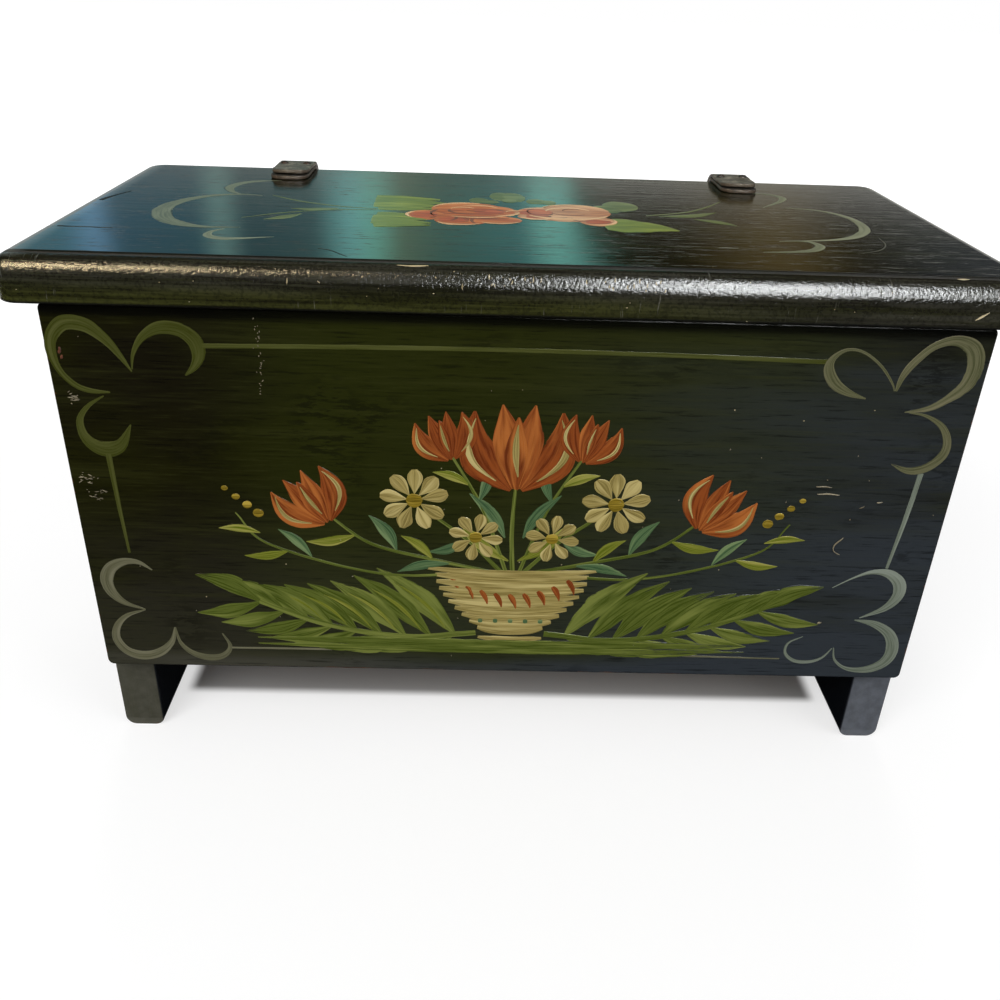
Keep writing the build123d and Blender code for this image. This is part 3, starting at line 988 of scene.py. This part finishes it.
def leather_material(name, dark, rubbed_tone, edge_tone):
    """Old blackened leather: creased, rubbed and brown at its cut edges."""
    g = Graph(name)
    along, across, edge = g.split(g.attribute("hide"))
    flat = g.join(along, across * 10.0, 0.0)
    pores = g.noise(1.6, 4.0, 0.65, flat)
    crease = g.noise((0.55, 0.09, 0.3), 3.0, 0.6, flat)
    rub = g.noise(0.16, 4.0, 0.6, flat)
    colour = g.mix(g.step(rub, 0.42, 0.68), tint(*dark), tint(*rubbed_tone))
    crack = g.cells((0.55, 0.4, 0.4), "DISTANCE_TO_EDGE", flat)
    split = g.step(crack, 0.07, 0.0) * g.step(rub, 0.4, 0.55)
    lines = g.most(g.step(crease, 0.55, 0.75) * 0.5, split)
    colour = g.mix(lines, colour, tint(24, 20, 16))
    colour = g.mix(edge * g.step(pores, 0.3, 0.6), colour, tint(*edge_tone))
    height = pores * 0.5 + (crease - split * 0.4)
    return g.finish(colour, pores * 0.25 + 0.36, height, 0.5, 0.4)


def strap_ply(name, side, layer, material, cad_nodes):
    """One continuous ply that bends as a round bight where the lid turns."""
    path = strap_path(layer)
    outline = ply_section()
    count = len(path)
    steps = np.linalg.norm(np.diff(path[:, :2], axis=0), axis=1)
    reach = np.concatenate([[0], np.cumsum(steps)])
    from_end = np.minimum(reach, reach[-1] - reach)
    curl = np.clip(1 - reach / CURL_LONG, 0, 1) ** 2 * (CURL_RISE if layer else 0.0)
    rounding = np.sqrt(np.maximum(END_ROUND ** 2 - (END_ROUND - from_end) ** 2, 0))
    wide = np.where(from_end < END_ROUND, STRAP_HALF - END_ROUND + rounding, STRAP_HALF)
    left = wide - TRIMMED - np.abs(wander(count, reach[-1], RAGGED))
    right = wide - TRIMMED - np.abs(wander(count, reach[-1], RAGGED))
    thick = PLY / 2 * (0.96 - 0.05 * np.abs(wander(count, reach[-1], 0.4)))
    thick = thick * np.where(from_end < 0.3, 0.8, 1.0)
    points = []
    hide = []
    for i in range(count):
        y, z, ny, nz = path[i]
        for a, b, edge in outline:
            half = right[i] if a > 0 else left[i]
            up = b * thick[i] - 0.06 * abs(a) ** 3 * (b > 0) + curl[i]
            points.append((side * STRAP_X + a * half, y + ny * up, z + nz * up))
            hide.append((reach[i], a, max(edge, 1.0 if from_end[i] < 0.2 else 0.0)))
    ring = len(outline)
    faces = []
    for i in range(0, (count - 1) * ring, ring):
        for j in range(ring):
            k = (j + 1) % ring
            faces.append((i + j, i + k, i + ring + k, i + ring + j))
    faces.append(tuple(range(ring))[::-1])
    faces.append(tuple((count - 1) * ring + j for j in range(ring)))
    piece = add_mesh(name, (np.array(points) * MM).tolist(), faces, material, flat=False, hide=hide)
    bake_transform(piece)
    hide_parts(*cad_nodes)


def make_straps():
    outer = leather_material("strap_outer_leather", (68, 63, 52), (138, 130, 112), (84, 70, 54))
    inner = leather_material("strap_inner_leather", (40, 35, 28), (70, 62, 50), (80, 64, 48))
    for name, side in (("left", -1), ("right", 1)):
        for layer, word, material in ((0, "inner", inner), (1, "outer", outer)):
            held = [f"{name}_strap_lid_{word}_ply", f"{name}_strap_case_{word}_ply"]
            strap_ply(f"{name}_strap_{word}_leather", side, layer, material, held)


# Small pieces

def iron_material(name, tone, rust):
    g = Graph(name)
    pits = g.noise(0.9, 4.0, 0.6)
    colour = g.mix(g.step(pits, 0.45, 0.65), tint(*tone), tint(*rust))
    g.shader.inputs["Metallic"].default_value = 0.6
    return g.finish(colour, pits * 0.4 + 0.25, pits, 0.12, 0.5)


def nail_places(name, flat):
    """The middles of a node's nails, seen along the axis that flat leaves out."""
    mesh = nodes[name].data
    points = np.array([v.co for v in mesh.vertices]) / MM
    places = []
    for point in points[:, flat]:
        for held in places:
            if np.linalg.norm(held[0] - point) < 5:
                held.append(point)
                break
        else:
            places.append([point])
    return [(np.min(held, 0) + np.max(held, 0)) / 2 for held in places]


FILLED = {
    "front_left_nails": (1, FACE_Y, -1), "front_right_nails": (1, FACE_Y, -1),
    "bottom_front_nails": (1, FACE_Y, -1), "back_left_nails": (1, CASE_HIGH[1], 1),
    "back_right_nails": (1, CASE_HIGH[1], 1), "bottom_back_nails": (1, CASE_HIGH[1], 1),
    "bottom_left_nails": (0, CASE_LOW[0], -1), "bottom_right_nails": (0, CASE_HIGH[0], 1),
}
FILLER_RINGS = ((1.68, 1.0), (1.68, 0.06), (1.3, 0.10), (0.7, 0.15), (0.2, 0.16))
ROUND = 20


def filler_plugs():
    """Painted-over filler in the nail holes, a touch below the face.
    Each ring of a plug has a radius and a depth in millimetres."""
    material = case_board("nail_filler_paint", "x", CASE_LOW, CASE_HIGH)
    for name, (axis, level, out) in FILLED.items():
        flat = [k for k in range(3) if k != axis]
        points = []
        made = []
        for middle in nail_places(name, flat):
            base = len(points)
            for radius, depth in FILLER_RINGS:
                for k in range(ROUND):
                    turn = 2 * math.pi * k / ROUND
                    row = [0.0, 0.0, 0.0]
                    row[axis] = level - out * depth
                    row[flat[0]] = middle[0] + radius * math.cos(turn)
                    row[flat[1]] = middle[1] + radius * math.sin(turn)
                    points.append(row)
            for a in range(base, len(points) - ROUND, ROUND):
                for k in range(ROUND):
                    after = (k + 1) % ROUND
                    made.append((a + k, a + after, a + ROUND + after, a + ROUND + k))
            made.append(tuple(range(len(points) - ROUND, len(points))))
        places = (np.array(points) * MM).tolist()
        piece = add_mesh(name.replace("nails", "filler"), places, made, material)
        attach(piece, "case")


# Wear marks

SCUFFS = [
    [(130, 103.2, 0.3), (133.5, 103.4, 0.5), (137, 103, 0.2)],
    [(131, 99.6, 0.3), (136, 99.8, 0.6), (141, 99.4, 0.2)],
    [(151, 93, 0.3), (153, 94, 0.6)],
    [(147, 78, 0.2), (143.6, 74, 0.7), (143.8, 71, 0.6), (147, 69, 0.2)],
    [(158, 96, 0.3), (160.5, 96.4, 0.4)],
    [(144, 31, 0.5), (145, 31.6, 0.9), (146, 31.8, 0.3)],
]
# Lowest and highest x and z of each group of scuffs, and how many it has
SCUFF_GROUPS = [
    (-184.5, -181.0, 133.5, 139.0, 14), (-187.0, -178.0, 96.0, 102.0, 16),
    (-186.0, -176.0, 89.0, 94.0, 16),
]


def front_marks():
    """Chips, scuffs and spatter that the case front has picked up."""
    scuffs = Brush("front_scuffs", "scuff_cream", 5)
    for k in range(30):
        z = 171 - 32 * k / 30 + rng.normal(0, 0.6)
        x = -105.7 + rng.normal(0, 0.7)
        scuffs.draw(dab(x, z, 0.2 + 0.25 * rng.random(), 0.2, rng.uniform(0, 180)), 0.0)
    for low, high, foot, top, count in SCUFF_GROUPS:
        for _ in range(count):
            at = rng.uniform(low, high), rng.uniform(foot, top)
            size = rng.uniform(0.2, 1.3), rng.uniform(0.1, 0.24)
            scuffs.draw(dab(*at, *size, rng.normal(8, 22)), 0.3, 0.3)
    for _ in range(26):
        at = rng.uniform(-185, 185), rng.uniform(6, 172)
        scuffs.draw(dab(*at, 0.15 + 0.3 * rng.random(), 0.17, rng.uniform(0, 180)), 0.0)
    scuffs.draw_all(SCUFFS, 0.4, 0.2)
    chips = Brush("front_chips", "chip_orange", 5)
    chips.draw(dab(-184.6, 156.6, 1.5, 0.7, 80), 0.3, 0.3)
    chips.draw(dab(-184.2, 153.8, 0.9, 0.5, 60), 0.3, 0.3)


END_CRACKS = [
    [(-195, 43.6, 1.2), (-189, 42.8, 1.2), (-180, 43, 0.9), (-171, 41.8, 0.3)],
    [(-195, 95, 2.0), (-194, 101, 2.2), (-191.6, 109, 1.3), (-188, 118, 0.4)],
]


def lid_marks():
    """Cracks and a fine scratch in the lid's face, ticks and chips on its front edge."""
    cracks = Brush("lid_cracks", "crack_black", 3)
    cracks.draw_all(END_CRACKS, 0.2, 0.3)
    cracks.draw([(-83, 18.8, 0.2), (-77.3, 16, 0.5), (-72.5, 10.5, 0.5), (-69, 6.5, 0.2)], 0.3, 0.3)
    scratch = Brush("lid_scratches", "scratch_grey", 3)
    scratch.draw([(160, 64, 0.2), (158.5, 52, 0.5), (152.5, 42, 0.5), (143, 36, 0.2)], 0.4, 0.1)
    scratch.draw([(82, 38, 0.5), (86, 38.6, 1.2), (91, 38.2, 0.5)], 0.4, 0.3)
    nicks = Brush("lid_edge_nicks", "nick_cream", 0, on_nose)
    nicks.draw([(-49.6, 2.6, 0.3), (-45, 2.9, 0.9), (-41, 2.8, 1.0), (-37.5, 2.4, 0.4)], 0.2, 0.2)
    nicks.draw([(169, 0.9, 0.5), (171.5, 1.1, 1.3), (174, 1.0, 0.6)], 0.2, 0.4)
    nicks.draw([(176.5, 19, 0.4), (179, 17.4, 0.9), (181.5, 15.6, 0.3)], 0.4, 0.3)
    for _ in range(26):
        x = rng.choice([rng.normal(-12, 8), rng.normal(38, 9), rng.uniform(-100, 60)])
        b = rng.uniform(6, 11)
        reach = rng.uniform(0.8, 3.4)
        middle = (x + rng.normal(0, 0.3), b + reach / 2, 0.4)
        nicks.draw([(x, b, 0.15), middle, (x + rng.normal(0, 0.5), b + reach, 0.12)], 0.9, 0.2)
    for _ in range(20):
        at = rng.uniform(-195, 195), rng.uniform(5, 22)
        nicks.draw(dab(*at, 0.15 + 0.25 * rng.random(), 0.15), 0.5)


# The looks of the CAD nodes

def dress(name, material):
    mesh = nodes[name].data
    mesh.materials.clear()
    mesh.materials.append(material)


def dress_cad():
    for name, axis in (("front", "x"), ("back", "x"), ("left_end", "z"), ("right_end", "z")):
        board = name + "_board"
        dress(board, case_board(board + "_paint", axis, *corners_of(board), name == "front"))
    bare = Graph("bare_pine")
    colour, fibre = pine(bare, "x")
    dress("bottom_board", bare.finish(colour, fibre * 0.2 + 0.55, fibre, 0.2, 0.3))
    dress("lid_board", lid_board_material("lid_board_paint"))
    endings = {
        "_tacks": iron_material("tack_iron", (60, 56, 52), (70, 46, 32)),
        "_nails": iron_material("nail_steel", (110, 108, 104), (84, 60, 44)),
        "_ply": leather_material("hidden_leather", (58, 52, 44), (98, 92, 80), (110, 74, 46)),
    }
    for name in nodes:
        for ending, material in endings.items():
            if name.endswith(ending):
                dress(name, material)


# The studio

def make_camera():
    data = bpy.data.cameras.new("camera")
    data.lens = 34.81
    data.sensor_width = 36.0
    camera = add("camera", data)
    camera.location = (-0.017064, -0.468133, 0.338595)
    camera.rotation_euler = [math.radians(v) for v in (61.416, -1.816, -0.613)]
    bpy.context.scene.camera = camera


def area_light(name, place, aim, size, power):
    """A soft lamp that lights the paint and isn't mirrored in its gloss."""
    data = bpy.data.lights.new(name, "AREA")
    data.shape = "RECTANGLE"
    data.size, data.size_y = size
    data.energy = power
    lamp = add(name, data)
    lamp.location = place
    x, y, z = np.array(aim) - np.array(place)
    lamp.rotation_euler = (math.atan2(math.hypot(x, y), -z), 0.0, math.atan2(-x, y))
    lamp.visible_glossy = False


def make_lights():
    area_light("key_light", (-0.9, -1.5, 1.5), (0, 0, 0.12), (1.3, 1.0), 30)
    area_light("fill_light", (1.4, -0.9, 0.9), (0, 0, 0.12), (1.2, 1.0), 10)
    area_light("back_light", (0.0, 1.5, 1.4), (0, 0, 0.1), (1.4, 0.8), 12)


WHITE = (1.0, 1.0, 1.0, 1.0)
PALE = (0.42, 0.42, 0.42, 1.0)


def make_world():
    world = bpy.data.worlds.new("studio")
    bpy.context.scene.world = world
    world.use_nodes = True
    g = Nodes(world.node_tree)
    background = g.tree.nodes["Background"]
    background.inputs["Color"].default_value = WHITE
    g.link(g.seen_directly() * 0.6 + 0.4, background.inputs["Strength"])


def make_floor():
    """A floor that glows white where it is seen, and not beneath the chest, so that the
    chest's own shade shows there."""
    g = Graph("floor_white", METRE)
    looks = {"Base Color": PALE, "Emission Color": WHITE, "Roughness": 0.9}
    looks["Specular IOR Level"] = 0.0
    for name, value in looks.items():
        g.shader.inputs[name].default_value = value
    away = g.put("VectorMath", {0: g.place}, "Value", operation="LENGTH")
    fade = g.step(away, 0.35, 1.3) * 0.38 + 0.62
    beneath = g.step(abs(g.x), 0.170, 0.162) * g.step(abs(g.y), 0.068, 0.060)
    g.link(g.seen_directly() * (fade * (1.0 - beneath)), g.shader.inputs["Emission Strength"])
    corners = [(-9, -9, 0), (9, -9, 0), (9, 9, 0), (-9, 9, 0)]
    add_mesh("floor", corners, [(0, 1, 2, 3)], g.material)


def card(name, corners, material):
    """A flat card that shows only in gloss."""
    piece = add_mesh(name, corners, [(0, 1, 2, 3)], material)
    piece.visible_camera = False
    piece.visible_diffuse = False
    piece.visible_shadow = False
    piece.visible_transmission = False


def colours_along(g, x, stops):
    """A colour ramp laid along x from the first stop to the last, in metres."""
    first, last = stops[0][0], stops[-1][0]
    made = g.put("ValToRGB", {0: g.ramp(x, first, last)})
    held = made.socket.node.color_ramp.elements
    for place, colour in stops[1:-1]:
        held.new((place - first) / (last - first)).color = (*colour, 1.0)
    held[0].color = (*stops[0][1], 1.0)
    held[len(held) - 1].color = (*stops[-1][1], 1.0)
    return made


CARD_Y = 1.2
CARD_STOPS = [
    (-1.0, (0.3, 0.42, 0.42)), (-0.73, (0.13, 0.38, 0.5)), (-0.675, (0.32, 0.68, 1.02)),
    (-0.635, (0.08, 0.22, 0.31)), (-0.5, (0.07, 0.21, 0.27)), (-0.46, (0.32, 0.62, 0.58)),
    (-0.42, (0.06, 0.16, 0.19)), (-0.3, (0.09, 0.22, 0.24)), (-0.24, (0.36, 0.98, 0.94)),
    (-0.2, (0.36, 1.0, 0.8)), (-0.155, (0.24, 0.4, 0.28)), (-0.08, (0.13, 0.33, 0.29)),
    (0.07, (0.12, 0.42, 0.42)), (0.1, (0.4, 1.1, 0.94)), (0.14, (0.36, 1.06, 0.93)),
    (0.168, (0.3, 0.86, 0.74)), (0.18, (0.012, 0.012, 0.0)), (0.34, (0.012, 0.008, 0.0)),
    (0.52, (0.2, 0.14, 0.05)), (0.64, (0.008, 0.005, 0.001)), (0.8, (0.05, 0.06, 0.07)),
    (1.0, (0.1, 0.11, 0.13)),
]
CARD_LEAN = 0.55
FOOT_STOPS = [
    (-1.0, (0.4, 0.42, 0.42)), (-0.5, (0.34, 0.36, 0.35)), (-0.2, (0.4, 0.44, 0.4)),
    (-0.12, (0.24, 0.26, 0.22)), (-0.02, (0.22, 0.24, 0.21)), (0.06, (0.4, 0.44, 0.4)),
    (0.2, (0.6, 0.6, 0.54)), (1.0, (0.66, 0.66, 0.62)),
]


def make_card():
    """A card behind the chest, seen only in the lid's varnish: cool panes at the left,
    a dull right side and a pale strip along its foot."""
    g = Graph("reflection_card", METRE)
    lean = g.ramp(g.x, -0.1, 0.2) * CARD_LEAN
    panes = colours_along(g, (0.575 - g.z) * lean + g.x, CARD_STOPS)
    foot = g.step(g.z, 0.475, 0.415) * 0.95
    g.emit(g.mix(foot, panes, colours_along(g, g.x, FOOT_STOPS)))
    corners = [(-2.4, CARD_Y, 0.02), (2.4, CARD_Y, 0.02), (2.4, CARD_Y, 1.0), (-2.4, CARD_Y, 1.0)]
    card("reflection_card", corners, g.material)


WARM = np.array([1.0, 0.8, 0.48])
COOL = np.array([0.96, 0.99, 1.0])
FULL_SHINE = 250.0
LEFT_SHINE = [
    (-1.0, 50), (-0.91, 70), (-0.85, 100), (-0.78, 230), (-0.7, 290), (-0.63, 250),
    (-0.55, 60), (-0.5, 2), (-0.45, 0),
]
RIGHT_SHINE = [
    (0.1, 0), (0.2, 0.3), (0.27, 0.7), (0.33, 5), (0.39, 44), (0.45, 78), (0.52, 52), (0.58, 23),
    (0.64, 8), (0.7, 4.6), (0.75, 2.8), (0.8, 2.0), (0.84, 1.5), (0.9, 1.1), (1.0, 0.7), (1.2, 0.5),
]


def shine_card(name, edges, stops, colour):
    """A bright strip that shows only in the gloss of the lid's rounded front edge.
    edges holds y and z of its four corners: low left, low right, high right, high left."""
    g = Graph(name, METRE)
    rows = [(x, tuple(float(v) for v in colour * level / FULL_SHINE)) for x, level in stops]
    g.emit(colours_along(g, g.x, rows), FULL_SHINE)
    left, right = stops[0][0], stops[-1][0]
    corners = [(x, *edge) for x, edge in zip((left, right, right, left), edges)]
    card(name, corners, g.material)


def make_shine():
    narrow = [(-0.94, 1.14), (-0.54, 1.4), (-0.46, 1.46), (-0.86, 1.2)]
    broad = [(-1.476, 0.607), (-1.476, 0.607), (-0.503, 1.684), (-0.503, 1.684)]
    shine_card("left_nose_shine", narrow, LEFT_SHINE, WARM)
    shine_card("right_nose_shine", broad, RIGHT_SHINE, COOL)


def make_flags():
    """Dark cloths round the chest that keep white out of the dark paint's gloss."""
    dark = Graph("flag_black", METRE).emit((0.006, 0.006, 0.006, 1.0))
    near, far, side, top = -2.4, 1.25, 2.4, 1.9
    low = 0.004
    left_low, left_high = (-side, near, 0.0), (-side, near, top)
    right_low, right_high = (side, near, 0.0), (side, near, top)
    left_far, right_far = (-side, far, top), (side, far, top)
    panels = {
        "floor_flag": [(-side, near, low), (side, near, low), (side, 0.1, low), (-side, 0.1, low)],
        "ceiling_flag": [left_high, right_high, right_far, left_far],
        "back_flag": [(-side, far, 0.9), (side, far, 0.9), right_far, left_far],
        "front_flag": [left_low, right_low, right_high, left_high],
        "left_flag": [left_low, (-side, far, 0.0), left_far, left_high],
        "right_flag": [right_low, (side, far, 0.0), right_far, right_high],
    }
    for name, corners in panels.items():
        card(name, corners, dark)


# Assembly

make_camera()
dress_cad()
paint_border()
paint_fronds()
paint_bowl()
paint_stems()
paint_flowers()
paint_scrolls()
paint_lid_leaves()
paint_roses()
front_marks()
lid_marks()
for brush in BRUSHES:
    brush.make()
make_straps()
filler_plugs()
make_world()
make_floor()
make_card()
make_shine()
make_flags()
make_lights()
bpy.context.scene.view_settings.view_transform = "Standard"
